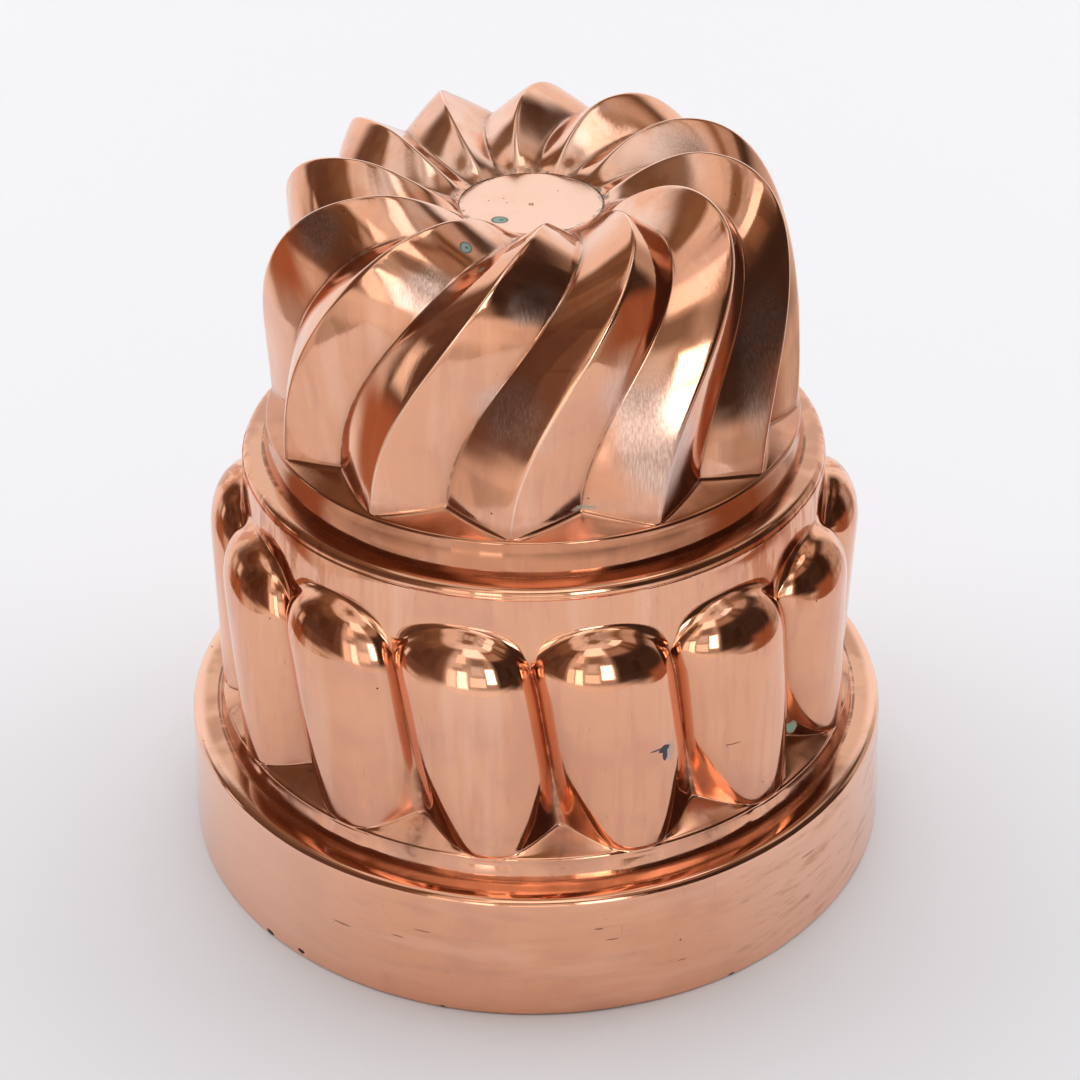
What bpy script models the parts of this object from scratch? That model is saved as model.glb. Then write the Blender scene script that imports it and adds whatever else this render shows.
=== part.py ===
"""Tiered copper mould: a plain skirt, a fluted wall and a swirled dome of sharp ridges
with a flat crown, open below. Sizes are in millimetres; the model is built in metres."""

import math

import bmesh
import bpy

# Sheet and joints
MM = 0.001
SHEET = 1.2            # copper gauge
CLEARANCE = 0.3        # between one piece and the next
BEND = 0.8             # outer radius of every folded edge
LIP = 4.0              # how far a tier reaches down into the one below it
SOLDER = 2.2           # leg of the solder fillets, half the bead's width
SEAM = 1.0             # width of the brazed seam

# Skirt
SKIRT_TOP_RADIUS = 78.5
SKIRT_FLARE = 1.5      # how much wider the cut edge is than the top
SKIRT_HEIGHT = 30.0
SKIRT_LEDGE = 6.3      # width of the narrow ledge folded in at its top
RIM_PLUMB = 2.0        # height of the plumb strip at the cut edge

# Fluted tier
LOWER_STEP = 5.0       # height of the plain riser above the skirt's ledge
LOWER_RISE = 3.4       # how far its inner ledge climbs to the grooves
WALL_HEIGHT = 60.0     # from that ledge to the neck's narrow ledge
FLUTES = 14
FOOT_SET_BACK = 0.2    # flat left in front of a foot
FLUTE_DEPTH = 7.6      # from crest to groove at the foot
FLUTE_DRAFT = 0.2      # how much nearer the axis the crest is where its domed end starts
FLUTE_DOME = 13.0      # height of that domed end
FLUTE_NOTCH = 0.3      # share of that height where neighbouring ends part
FLUTE_POWER = 2.1      # squareness of a flute's front: 2 is an ellipse
GROOVE_POWER = 1.6     # openness of the grooves: 2 closes them to a slit
FLUTE_LEAN = 7.0       # degrees that the flutes turn between ledge and neck's top
FLUTE_START = 17.5     # degrees from the front to the first flute's foot
NECK_PLAIN = 9.2       # plain wall above the flutes
NECK_DRAFT = 0.4       # how much nearer the axis the neck's top is than the grooves' feet
NECK_LEDGE = 5.7       # width of the narrow ledge at the neck's top

# Swirled dome
UPPER_STEP = 7.3       # height of the riser above the neck's ledge
UPPER_RISE = 2.6       # how far its inner ledge climbs to the valleys
DOME_HEIGHT = 56.0     # from that ledge to the tops of the ridges
RIDGES = 12
TOE_SET_BACK = 0.3     # flat left in front of a ridge's toe
RIDGE_DEPTH = 5.8      # from crest to valley at the foot
RIDGE_FLAT = 1.2       # width across the rounded crest and the valley line
RIDGE_TOP_RADIUS = 35.3
RIDGE_TOP_DEPTH = 6.4  # from crest to valley at the top
VALLEY_TOP_INSET = 1.5
WALL_PULL = 0.73       # how straight the wall rises before its shoulder
SHOULDER_PULL = 0.85   # how square the shoulder is
TOP_PULL = 0.34        # how far in the ridge stays level past its top
EDGE_REACH = 0.28      # how far out the crown's edge shapes the run down to it
EDGE_LIFT = 0.46       # and how far up
RIDGE_TWIST = 45.0     # degrees a ridge turns from its toe to the crown
TWIST_EASE = 1.8       # how much the turning slows towards the crown
RIDGE_START = -4.5     # degrees from the front to the first ridge's toe

# Crown
CROWN_RADIUS = 14.7
CROWN_DIP = 10.5       # how far the crown lies below the tops of the ridges

# Sizes that follow from those above
RIM_RADIUS = SKIRT_TOP_RADIUS + SKIRT_FLARE
LOWER_RADIUS = SKIRT_TOP_RADIUS - SKIRT_LEDGE
LOWER_LEDGE = SKIRT_HEIGHT + LOWER_STEP
FLUTE_RADIUS = LOWER_RADIUS - BEND - FOOT_SET_BACK
GROOVE_FOOT_RADIUS = FLUTE_RADIUS - FLUTE_DEPTH
NECK_RADIUS = GROOVE_FOOT_RADIUS - NECK_DRAFT
NECK_HEIGHT = LOWER_LEDGE + WALL_HEIGHT
FLUTE_TOP = NECK_HEIGHT - NECK_PLAIN
UPPER_RADIUS = NECK_RADIUS - NECK_LEDGE
UPPER_LEDGE = NECK_HEIGHT + UPPER_STEP
RIDGE_FOOT_RADIUS = UPPER_RADIUS - BEND - TOE_SET_BACK
VALLEY_FOOT_RADIUS = RIDGE_FOOT_RADIUS - RIDGE_DEPTH
RIDGE_TOP_HEIGHT = UPPER_LEDGE + DOME_HEIGHT
VALLEY_TOP_RADIUS = RIDGE_TOP_RADIUS - VALLEY_TOP_INSET
VALLEY_TOP_HEIGHT = RIDGE_TOP_HEIGHT - RIDGE_TOP_DEPTH
CROWN_HEIGHT = RIDGE_TOP_HEIGHT - CROWN_DIP

# Facets
ROUND = 72
FLUTE_SIDES = 8
BEND_STEPS = 2
WALL_ROWS = 2
DOME_ROWS = 4
RIDGE_ROWS = 8
CROWN_ROWS = 3

FRONT = -math.pi / 2

# Colours as linear red, green and blue
COPPER = (0.78, 0.36, 0.22)
CROWN_COPPER = (0.83, 0.45, 0.31)
SOLDER_GREY = (0.42, 0.40, 0.37)
BRASS = (0.70, 0.50, 0.24)


def clear_scene():
    for item in list(bpy.data.objects):
        bpy.data.objects.remove(item, do_unlink=True)


def make_material(name, colour, roughness, metallic=1.0):
    material = bpy.data.materials.new(name)
    material.use_nodes = True
    shader = material.node_tree.nodes["Principled BSDF"]
    shader.inputs["Base Color"].default_value = (*colour, 1.0)
    shader.inputs["Roughness"].default_value = roughness
    shader.inputs["Metallic"].default_value = metallic
    return material


def add_object(name, mesh_data, material):
    mesh = bpy.data.meshes.new(name)
    mesh_data.to_mesh(mesh)
    mesh_data.free()
    mesh.shade_smooth()
    mesh.set_sharp_from_angle(angle=math.radians(30))
    mesh.materials.append(material)
    item = bpy.data.objects.new(name, mesh)
    bpy.context.collection.objects.link(item)
    return item


def place(radius, height, angle):
    """A point from its radius and height in millimetres and its angle from the front."""
    turn = FRONT + angle
    return (radius * MM * math.cos(turn), radius * MM * math.sin(turn), height * MM)


def skin(rows, closed=True):
    """A sheet through rows of points; a closed one joins up round the axis."""
    sheet = bmesh.new()
    grid = [[sheet.verts.new(point) for point in row] for row in rows]
    columns = len(rows[0])
    for lower, upper in zip(grid, grid[1:]):
        for first in range(columns if closed else columns - 1):
            second = (first + 1) % columns
            sheet.faces.new((lower[first], lower[second], upper[second], upper[first]))
    return sheet


def thicken(item):
    """Give the sheet its gauge, inwards from the face that shows."""
    gauge = item.modifiers.new("gauge", "SOLIDIFY")
    gauge.thickness = SHEET * MM
    gauge.offset = -1.0
    gauge.use_even_offset = True
    return item


def bezier(start, pull_out, pull_in, end, share):
    """A point on the curve from start to end that leaves and arrives along the two pulls."""
    rest = 1.0 - share
    weights = (rest ** 3, 3 * rest * rest * share, 3 * rest * share * share, share ** 3)
    corners = (start, pull_out, pull_in, end)
    return tuple(sum(w * c[axis] for w, c in zip(weights, corners)) for axis in (0, 1))


def folded_edge(radius, height):
    """Radius and height along an edge folded from a plumb wall in to a flat ledge."""
    points = []
    for step in range(BEND_STEPS + 1):
        turn = math.pi / 2 * step / BEND_STEPS
        points.append((radius - BEND + BEND * math.cos(turn),
                       height - BEND + BEND * math.sin(turn)))
    return points


def ring_rows(profile, angles):
    return [[place(radius, height, angle) for angle in angles] for radius, height in profile]


# Skirt and its seam

def skirt_profile():
    profile = [(RIM_RADIUS, 0.0), (RIM_RADIUS, RIM_PLUMB)]
    profile += folded_edge(SKIRT_TOP_RADIUS, SKIRT_HEIGHT)
    profile.append((LOWER_RADIUS + CLEARANCE, SKIRT_HEIGHT))
    return profile


def make_skirt(material):
    half_gap = (SEAM / 2 + CLEARANCE) / SKIRT_TOP_RADIUS
    span = 2 * math.pi - 2 * half_gap
    angles = [half_gap - math.pi + span * step / ROUND for step in range(ROUND + 1)]
    sheet = skin(ring_rows(skirt_profile(), angles), closed=False)
    return thicken(add_object("skirt_band", sheet, material))


def make_skirt_seam(material):
    half = SEAM / 2 / SKIRT_TOP_RADIUS
    profile = skirt_profile()
    profile[0] = (RIM_RADIUS, CLEARANCE)
    sheet = skin(ring_rows(profile, [math.pi - half, math.pi + half]), closed=False)
    return thicken(add_object("skirt_seam", sheet, material))


# Fluted tier

def flute_columns():
    """For each column round the tier: its angle and its share out from the groove."""
    pitch = 2 * math.pi / FLUTES
    columns = []
    for flute in range(FLUTES):
        for step in range(FLUTE_SIDES):
            turn = math.pi * (step / FLUTE_SIDES - 0.5)
            across = math.copysign(abs(math.sin(turn)) ** (2 / FLUTE_POWER), turn)
            out = abs(math.cos(turn)) ** (2 / GROOVE_POWER)
            columns.append((pitch * (flute + across / 2), out))
    return columns


def flute_point(angle, height, depth, draft):
    """A point of the fluted wall; depth runs from 0 in the groove to 1 on a crest."""
    climb = (height - LOWER_LEDGE) / (NECK_HEIGHT - LOWER_LEDGE)
    groove = GROOVE_FOOT_RADIUS + (NECK_RADIUS - GROOVE_FOOT_RADIUS) * climb
    crest = FLUTE_RADIUS - FLUTE_DRAFT * draft
    turn = math.radians(FLUTE_START - FLUTE_LEAN * climb)
    return place(groove + (crest - groove) * depth, height, angle + turn)


def flute_wall_row(share, columns):
    """A level of the straight wall, from 0 at the foot to 1 where the domed ends start."""
    foot = LOWER_LEDGE
    rise = (FLUTE_TOP - FLUTE_DOME - foot) * share
    return [flute_point(angle, foot + rise + LOWER_RISE * (1.0 - out) * (1.0 - share),
                        out, share) for angle, out in columns]


def flute_dome_row(turn, columns):
    """A level of the domed ends, which shrinks to their arches on the neck at 90 degrees."""
    start = FLUTE_TOP - FLUTE_DOME
    rise = math.sin(turn) ** (2 / FLUTE_POWER)
    left = abs(math.cos(turn)) ** (2 / FLUTE_POWER)
    return [flute_point(angle,
                        start + FLUTE_DOME * rise * (FLUTE_NOTCH + (1.0 - FLUTE_NOTCH) * out),
                        out * left, 1.0) for angle, out in columns]


def make_fluted_wall(material):
    columns = flute_columns()
    foot_turn = math.radians(FLUTE_START)
    angles = [angle + foot_turn for angle, out in columns]
    neck_turn = math.radians(FLUTE_START - FLUTE_LEAN)
    neck_angles = [angle + neck_turn for angle, out in columns]
    lower = [(LOWER_RADIUS, SKIRT_HEIGHT - LIP)] + folded_edge(LOWER_RADIUS, LOWER_LEDGE)
    rows = ring_rows(lower, angles)
    rows += [flute_wall_row(step / WALL_ROWS, columns) for step in range(WALL_ROWS + 1)]
    rows += [flute_dome_row(math.pi / 2 * step / DOME_ROWS, columns)
             for step in range(1, DOME_ROWS + 1)]
    upper = folded_edge(NECK_RADIUS, NECK_HEIGHT)
    upper.append((UPPER_RADIUS + CLEARANCE, NECK_HEIGHT))
    rows += ring_rows(upper, neck_angles)
    return thicken(add_object("fluted_wall", skin(rows), material))


# Swirled dome

def run_points(foot, top, edge):
    """Radius and height up a wall, over its shoulder and in to the crown."""
    (foot_r, foot_z), (top_r, top_z), (edge_r, edge_z) = foot, top, edge
    points = []
    for step in range(RIDGE_ROWS + 1):
        points.append(bezier(foot, (foot_r, foot_z + (top_z - foot_z) * WALL_PULL),
                             (top_r + (foot_r - top_r) * SHOULDER_PULL, top_z), top,
                             step / RIDGE_ROWS))
    for step in range(1, CROWN_ROWS + 1):
        points.append(bezier(top, (top_r - (top_r - edge_r) * TOP_PULL, top_z),
                             (edge_r + (top_r - edge_r) * EDGE_REACH,
                              edge_z + (top_z - edge_z) * EDGE_LIFT), edge,
                             step / CROWN_ROWS))
    return points


def run_shares(points):
    """How far along the run each point is, from 0 at the foot to 1 at the crown."""
    lengths = [0.0]
    for here, there in zip(points, points[1:]):
        lengths.append(lengths[-1] + math.dist(here, there))
    return [length / lengths[-1] for length in lengths]


def twist_at(share):
    """Ridges leave their toes plumb, turn fastest over the wall and slow at the crown."""
    turned = share * share * (1.0 + TWIST_EASE - TWIST_EASE * share)
    return math.radians(RIDGE_START + RIDGE_TWIST * turned)


def ridge_row(crest, valley, turn):
    """One level of the dome: rounded crests, straight faces and valley lines."""
    pitch = 2 * math.pi / RIDGES
    crest_half = RIDGE_FLAT / 2 / crest[0]
    valley_half = RIDGE_FLAT / 2 / valley[0]
    middle = tuple((a + b) / 2 for a, b in zip(crest, valley))
    section = ((-crest_half, crest), (crest_half, crest), (pitch / 4, middle),
               (pitch / 2 - valley_half, valley), (pitch / 2 + valley_half, valley),
               (pitch * 3 / 4, middle))
    points = []
    for ridge in range(RIDGES):
        for angle, (radius, height) in section:
            points.append(place(radius, height, ridge * pitch + angle + turn))
    return points


def make_swirl_dome(material):
    crest = run_points((RIDGE_FOOT_RADIUS, UPPER_LEDGE), (RIDGE_TOP_RADIUS, RIDGE_TOP_HEIGHT),
                       (CROWN_RADIUS, CROWN_HEIGHT))
    valley = run_points((VALLEY_FOOT_RADIUS, UPPER_LEDGE + UPPER_RISE),
                        (VALLEY_TOP_RADIUS, VALLEY_TOP_HEIGHT),
                        (CROWN_RADIUS, CROWN_HEIGHT))
    turn = twist_at(0.0)
    lower = [(UPPER_RADIUS, NECK_HEIGHT - LIP)] + folded_edge(UPPER_RADIUS, UPPER_LEDGE)
    rows = [ridge_row(point, point, turn) for point in lower]
    for high, low, share in zip(crest, valley, run_shares(crest)):
        rows.append(ridge_row(high, low, twist_at(share)))
    return thicken(add_object("swirl_dome", skin(rows), material))


# Crown plate

def make_crown_plate(material):
    """A disc let into the dome's round opening, flush with its edge."""
    plate = bmesh.new()
    radius = (CROWN_RADIUS - CLEARANCE) * MM
    bmesh.ops.create_cone(plate, cap_ends=True, segments=ROUND, radius1=radius,
                          radius2=radius, depth=SHEET * MM)
    item = add_object("crown_plate", plate, material)
    item.location.z = (CROWN_HEIGHT - SHEET / 2) * MM
    return item


# Solder

def solder_ring(name, profile, material):
    """A closed ring with the given section, its points in order from inside to outside."""
    angles = [2 * math.pi * step / ROUND for step in range(ROUND)]
    rows = ring_rows(profile + profile[:1], angles)
    ring = skin(rows)
    bmesh.ops.remove_doubles(ring, verts=ring.verts, dist=0.00001)
    bmesh.ops.recalc_face_normals(ring, faces=ring.faces)
    return add_object(name, ring, material)


def corner_fillet(radius, height):
    """A fillet outside a lip and under a ledge, cut to a flat slope."""
    inner = radius + CLEARANCE
    top = height - SHEET - CLEARANCE
    return [(inner, top), (inner, top - SOLDER), (inner + SOLDER, top)]


def plate_bead():
    """A low bead under the joint of the crown plate and the dome's edge."""
    top = CROWN_HEIGHT - SHEET - CLEARANCE
    return [(CROWN_RADIUS - SOLDER, top), (CROWN_RADIUS, top - SOLDER / 2),
            (CROWN_RADIUS + SOLDER, top)]


def build():
    clear_scene()
    copper = make_material("copper", COPPER, 0.14)
    crown_copper = make_material("crown_copper", CROWN_COPPER, 0.22)
    solder = make_material("soft_solder", SOLDER_GREY, 0.45)
    brass = make_material("brazing_brass", BRASS, 0.30)
    make_skirt(copper)
    make_skirt_seam(brass)
    make_fluted_wall(copper)
    make_swirl_dome(copper)
    make_crown_plate(crown_copper)
    solder_ring("skirt_solder", corner_fillet(LOWER_RADIUS, SKIRT_HEIGHT), solder)
    solder_ring("neck_solder", corner_fillet(UPPER_RADIUS, NECK_HEIGHT), solder)
    solder_ring("crown_solder", plate_bead(), solder)


build()
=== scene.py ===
"""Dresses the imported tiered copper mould: raised tiers of polished copper sheet, tinned
inside, with their solder, their seam and the plate in the crown, on a pale studio floor."""

import math

import bmesh
import bpy
from bpy.props import FloatProperty, FloatVectorProperty, IntProperty, PointerProperty
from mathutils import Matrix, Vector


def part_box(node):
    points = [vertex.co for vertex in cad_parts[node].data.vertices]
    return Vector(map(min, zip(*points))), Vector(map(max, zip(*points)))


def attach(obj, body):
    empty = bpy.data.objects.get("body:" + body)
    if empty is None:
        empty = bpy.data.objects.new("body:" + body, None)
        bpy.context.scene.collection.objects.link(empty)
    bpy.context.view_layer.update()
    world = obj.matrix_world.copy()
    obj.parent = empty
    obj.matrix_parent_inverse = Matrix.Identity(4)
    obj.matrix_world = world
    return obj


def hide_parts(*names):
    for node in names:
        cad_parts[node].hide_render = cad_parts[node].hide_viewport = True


bl_info = {
    "name": "Tiered copper mould",
    "version": (1, 0, 0),
    "blender": (4, 5, 0),
    "location": "View3D > Sidebar > Mould",
    "description": "Makes the tiers, solder, seam and crown plate of a copper mould",
    "category": "Add Mesh",
}

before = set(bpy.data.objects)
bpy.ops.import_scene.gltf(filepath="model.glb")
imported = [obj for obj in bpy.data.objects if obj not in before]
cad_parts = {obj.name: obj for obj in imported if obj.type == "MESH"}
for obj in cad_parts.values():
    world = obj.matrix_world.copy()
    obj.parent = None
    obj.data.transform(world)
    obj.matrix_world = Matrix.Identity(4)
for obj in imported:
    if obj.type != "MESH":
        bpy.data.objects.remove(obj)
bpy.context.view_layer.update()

MM = 0.001
TAU = 2 * math.pi

SKIRT_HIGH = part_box("skirt_band")[1]
FLUTED_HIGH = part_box("fluted_wall")[1]
DOME_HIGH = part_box("swirl_dome")[1]
PLATE_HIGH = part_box("crown_plate")[1]


# Sizes and colours

def linear(hex_colour):
    """Linear red, green, blue and alpha from an sRGB hex colour such as #E8A585."""
    shares = [int(hex_colour[place:place + 2], 16) / 255 for place in (1, 3, 5)]
    return tuple(s / 12.92 if s <= 0.04045 else ((s + 0.055) / 1.055) ** 2.4
                 for s in shares) + (1,)


def length(name, description, millimetres):
    return FloatProperty(name=name, description=description, default=millimetres * MM,
                         subtype="DISTANCE", unit="LENGTH", precision=5)


def angle(name, description, degrees):
    return FloatProperty(name=name, description=description,
                         default=math.radians(degrees), subtype="ANGLE", unit="ROTATION")


def power(name, description, watts):
    return FloatProperty(name=name, description=description, default=watts, min=0,
                         subtype="POWER", unit="POWER")


def colour(name, description, hex_colour):
    return FloatVectorProperty(name=name, description=description, subtype="COLOR", size=4,
                               min=0, max=1, default=linear(hex_colour))


class MouldSheet(bpy.types.PropertyGroup):
    gauge: length("Gauge", "Thickness of the copper sheet", 1.2)
    bend: length("Bend", "Outer radius of the skirt's and the neck's folds", 1.7)
    crisp: length("Crisp bend", "Outer radius of the risers' sharper folds", 0.8)
    lip: length("Lip", "How far a tier reaches down into the one below it", 4)
    gap: length("Gap", "Hairline between the crown plate and the dome", 0.03)
    wobble: length("Wobble", "Unevenness left by the mallet, 30 mm apart", 0.45)
    dents: length("Dents", "Finer unevenness left by the planishing", 0.10)


class MouldSkirt(bpy.types.PropertyGroup):
    rim_radius: length("Rim radius", "Outer radius at the cut edge", SKIRT_HIGH[0] / MM - 0.15)
    top_radius: length("Top radius", "Outer radius at the top fold", 78.5)
    height: length("Height", "Top of the narrow ledge", SKIRT_HIGH[2] / MM)
    plumb: length("Plumb strip", "Height of the upright strip at the cut edge", 2)
    seam: length("Seam", "Width of the brazed seam at the back", 1)
    seam_proud: length("Seam's height", "How far the filed seam stands proud", 0.08)


class MouldFlutes(bpy.types.PropertyGroup):
    count: IntProperty(name="Flutes", description="Flutes round the tier", default=14, min=3)
    radius: length("Riser radius", "Outer radius of the plain riser at its foot", 72.5)
    draft: length("Riser draft", "How far the riser leans in at its top", 1.2)
    ledge: length("Ledge height", "Top of the ledge at the flutes' feet", 35.3)
    rise: length("Ledge rise", "How far the ledge climbs into the grooves", 3.4)
    crest: length("Crest radius", "Outermost line of a flute above its foot", 71.2)
    foot: length("Foot", "Height over which a flute's narrow foot spreads", 17)
    groove: length("Groove radius", "Bottom of a groove at its foot", 63.6)
    top: length("Flute top", "Height of the arches on the neck", 85.4)
    dome: length("Domed end", "Height of a flute's domed end", 13)
    neck_radius: length("Neck radius", "Outer radius of the neck at its top fold", 62.4)
    neck: length("Neck height", "Top of the neck's narrow ledge", FLUTED_HIGH[2] / MM)
    start: angle("Start", "From the front to the first flute's foot", 17.5)
    lean: angle("Lean", "Turn of the flutes from the ledge to the neck's top", 7)


class MouldSwirl(bpy.types.PropertyGroup):
    count: IntProperty(name="Ridges", description="Ridges round the dome", default=12, min=3)
    radius: length("Riser radius", "Outer radius of the plain riser at its foot", 57.9)
    draft: length("Riser draft", "How far the riser leans in at its top", 1)
    ledge: length("Ledge height", "Top of the ledge at the ridges' toes", 102.5)
    rise: length("Ledge rise", "How far the ledge climbs into the valleys", 2.6)
    toe: length("Toe radius", "Crest of a ridge at its toe", 56.4)
    valley: length("Valley radius", "Valley between two toes", 50.6)
    top_radius: length("Top radius", "Crest of a ridge where it is highest", 35.3)
    top: length("Top height", "Height of the ridges", DOME_HIGH[2] / MM - 0.1)
    top_depth: length("Top depth", "From crest down to valley at the top", 6.4)
    start: angle("Start", "From the front to the first ridge's toe", -4.5)
    twist: angle("Twist", "Turn of a ridge from its toe to the crown", 45)


class MouldCrown(bpy.types.PropertyGroup):
    radius: length("Opening radius", "Radius of the dome's round opening", 14.7)
    height: length("Height", "Top of the plate and of the dome's edge", PLATE_HIGH[2] / MM)
    dish: length("Dish", "How far the plate's middle is beaten down", 0.25)
    punch: length("Punch mark", "Radius of the centre mark left by the compasses", 0.45)


class MouldFinish(bpy.types.PropertyGroup):
    copper: colour("Copper", "Polished copper sheet", "#F2B391")
    deep_copper: colour("Deep copper", "Copper with a thin brown tarnish", "#C9805C")
    # Tarnish is used only for the pin specks; the darker creases are painted shade
    tarnish: colour("Tarnish", "Dark tarnish and old polish in the creases", "#4A2B1E")
    tin: colour("Tin", "Wiped tin on the inner faces", "#D6D3CD")
    solder: colour("Solder", "Soft solder, dulled", "#BFBAB2")
    brass: colour("Brazing", "Brass spelter of the seam", "#D8B06A")
    verdigris: colour("Verdigris", "Green copper salts in a few spots", "#8CA89E")
    stain: colour("Stain", "Blue-grey heat stain on a flute", "#4C4B55")


class MouldStage(bpy.types.PropertyGroup):
    floor: colour("Floor", "Matt studio paper", "#EEEEF0")
    left_wall: colour("Left wall", "Dim wall of the room on the left", "#70584A")
    right_wall: colour("Right wall", "Darker wall on the right", "#463830")
    upper_wall: colour("Upper wall", "Walls below the ceiling", "#8F745C")
    ceiling: colour("Ceiling", "Ceiling of the room", "#D9D3CD")
    table: colour("Table", "Table beyond the paper's edge", "#D6CCC4")
    far_wall: colour("Far wall", "Lit wall behind the camera", "#DCD0C4")
    sweep: colour("Sweep", "Pale paper hanging at the back", "#FFFFFF")
    paper_front: length("Paper's front edge", "How far the paper runs to the front", 260)
    overhead: power("Overhead", "Power of the soft light above", 22.5)
    sides: power("Sides", "Power of each soft light at the sides", 5)


# Raising a sheet ring by ring

def sizes(*groups):
    """The scene's property groups of these names."""
    return [getattr(bpy.context.scene, "mould_" + group) for group in groups]


def mix(low, high, share):
    return low + (high - low) * share


def deselect():
    if bpy.context.object and bpy.context.object.mode != "OBJECT":
        bpy.ops.object.mode_set(mode="OBJECT")
    bpy.ops.object.select_all(action="DESELECT")


def start_ring(name, columns, radius, height, start=0):
    """A ring on the axis, in edit mode. Each point keeps its column, counted from start."""
    deselect()
    bpy.ops.mesh.primitive_circle_add(vertices=columns, radius=radius, fill_type="NOTHING",
                                      location=(0, 0, height), rotation=(0, 0, start))
    piece = bpy.context.object
    piece.name = name
    piece.data.name = name
    numbers = piece.data.attributes.new("column", "INT", "POINT").data
    for point, number in zip(piece.data.vertices, numbers):
        share = math.atan2(point.co.x, -point.co.y) / TAU
        number.value = round(share * columns) % columns
    piece.data.attributes.new("fold", "FLOAT", "POINT")
    bpy.ops.object.transform_apply(location=True, rotation=True, scale=True)
    bpy.ops.object.mode_set(mode="EDIT")
    bpy.ops.mesh.select_mode(type="VERT")
    bpy.ops.mesh.select_all(action="SELECT")
    return piece


def grow_ring(radius_factor, rise):
    """Draws the selected ring out to a new one, wider or narrower and higher or lower."""
    bpy.ops.mesh.extrude_region_move(TRANSFORM_OT_translate={"value": (0, 0, rise)})
    bpy.ops.transform.resize(value=(radius_factor, radius_factor, 1),
                             center_override=(0, 0, 0))
    mesh = bmesh.from_edit_mesh(bpy.context.object.data)
    fold_note = mesh.verts.layers.float["fold"]
    for point in mesh.verts:
        if point.select:
            point[fold_note] = 0


def plain_rings(profile):
    """Draws the selected ring through the profile's radii and heights, from its first."""
    for (radius, height), (new_radius, new_height) in zip(profile, profile[1:]):
        grow_ring(new_radius / radius, new_height - height)


# The crease note steers how far the copper's painted shade reaches towards the grooves
CREASE_FALL = 5   # how soon a valley's crease fades beside it


def shaped_ring(piece, sector, points, turn, crest=0, crease=0, valley=1):
    """Draws the selected ring out to one that repeats in every sector of columns. Points
    gives radius, height and angle for each column from the sector's middle to its edge. How
    far the ring lies in a crease, the middle on a crest and the edge in a valley is noted."""
    bpy.ops.mesh.extrude_region_move()
    mesh = bmesh.from_edit_mesh(piece.data)
    column = mesh.verts.layers.int["column"]
    fold_note = mesh.verts.layers.float["fold"]
    ring = [point for point in mesh.verts if point.select]
    sectors = len(ring) // sector
    edge = len(points) - 1
    for step, (radius, height, out) in enumerate(points):
        # These notes steer the copper's painted shade in the creases and valleys and its painted
        # highlight on the crests
        note = max(crease, valley * (step / edge) ** CREASE_FALL) if step else -crest
        for side in ((1,) if step in (0, edge) else (1, -1)):
            place = side * step
            chosen = [point for point in ring if (point[column] - place) % sector == 0]
            for point in ring:
                point.select_set(False)
            for point in chosen:
                point.select_set(True)
                point[fold_note] = note
            first = chosen[0]
            wanted = (first[column] - place) // sector * TAU / sectors + side * out + turn
            now = math.atan2(first.co.x, -first.co.y)
            delta = (wanted - now + math.pi) % TAU - math.pi
            factor = radius / math.hypot(first.co.x, first.co.y)
            bpy.ops.transform.resize(value=(factor, factor, 1), center_override=(0, 0, 0))
            bpy.ops.transform.rotate(value=-delta, orient_axis="Z", center_override=(0, 0, 0))
            bpy.ops.transform.translate(value=(0, 0, height - first.co.z))
    for point in ring:
        point.select_set(True)
    mesh.select_flush(True)


FOLD_STEPS = 4
BELOW_FOLD = 0.8 * MM   # upright run that keeps a fold crisp


def fold(radius, height, bend):
    """Radii and heights round an edge folded from an upright wall in to a flat ledge."""
    points = [(radius, height - bend - BELOW_FOLD)]
    for step in range(FOLD_STEPS + 1):
        turn = TAU / 4 * step / FOLD_STEPS
        points.append((radius - bend + bend * math.cos(turn),
                       height - bend + bend * math.sin(turn)))
    return points


def folded_ledge(radius, height, bend, inner):
    """The same fold, and the ledge in to its inner edge."""
    return fold(radius, height, bend) + [(mix(radius - bend, inner, 0.5), height),
                                         (inner + 0.5 * MM, height), (inner, height)]


def lip(radius, ledge, sheet):
    """Radii and heights of a tier's lip, up to the ledge that it passes through."""
    low = ledge - sheet.lip
    return [(radius, low), (radius, low + 0.6 * MM), (radius, ledge)]


def apply_modifier(piece, kind, **settings):
    modifier = piece.modifiers.new(kind.lower(), kind)
    for key, value in settings.items():
        setattr(modifier, key, value)
    bpy.ops.object.modifier_apply(modifier=modifier.name)


def close_piece(piece, finishes, marks, thickness=0, offset=-1):
    """Ends the raising with finishes, thickness, smooth curves and the marks of the work:
    the size and depth of soft clouds that press the surface in and out."""
    bpy.ops.mesh.select_all(action="SELECT")
    bpy.ops.mesh.normals_make_consistent(inside=False)
    bpy.ops.object.mode_set(mode="OBJECT")
    for finish in finishes:
        piece.data.materials.append(finish)
    if thickness:
        apply_modifier(piece, "SOLIDIFY", thickness=thickness, offset=offset,
                       use_even_offset=True, material_offset=len(finishes) - 1,
                       material_offset_rim=0)
    apply_modifier(piece, "SUBSURF", levels=1, render_levels=1)
    for size, depth in marks:
        cloud = bpy.data.textures.new("cloud", "CLOUDS")
        cloud.noise_scale = size
        cloud.noise_depth = 1
        apply_modifier(piece, "DISPLACE", texture=cloud, texture_coords="GLOBAL",
                       strength=depth, mid_level=0.5)
        bpy.data.textures.remove(cloud)
    bpy.ops.object.shade_smooth()
    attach(piece, "root")


def mallet_marks(sheet):
    """Unevenness left by the mallet, 30 mm apart, and by the planishing, 9 mm apart."""
    return [(30 * MM, sheet.wobble), (9 * MM, sheet.dents)]


def close_sheet(piece, sheet, outer):
    """Gives a raised sheet its gauge, its outer finish and the tin inside."""
    inner = kept("wiped_tin", wiped_tin)
    close_piece(piece, (outer, inner), mallet_marks(sheet), sheet.gauge)


# Skirt

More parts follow.
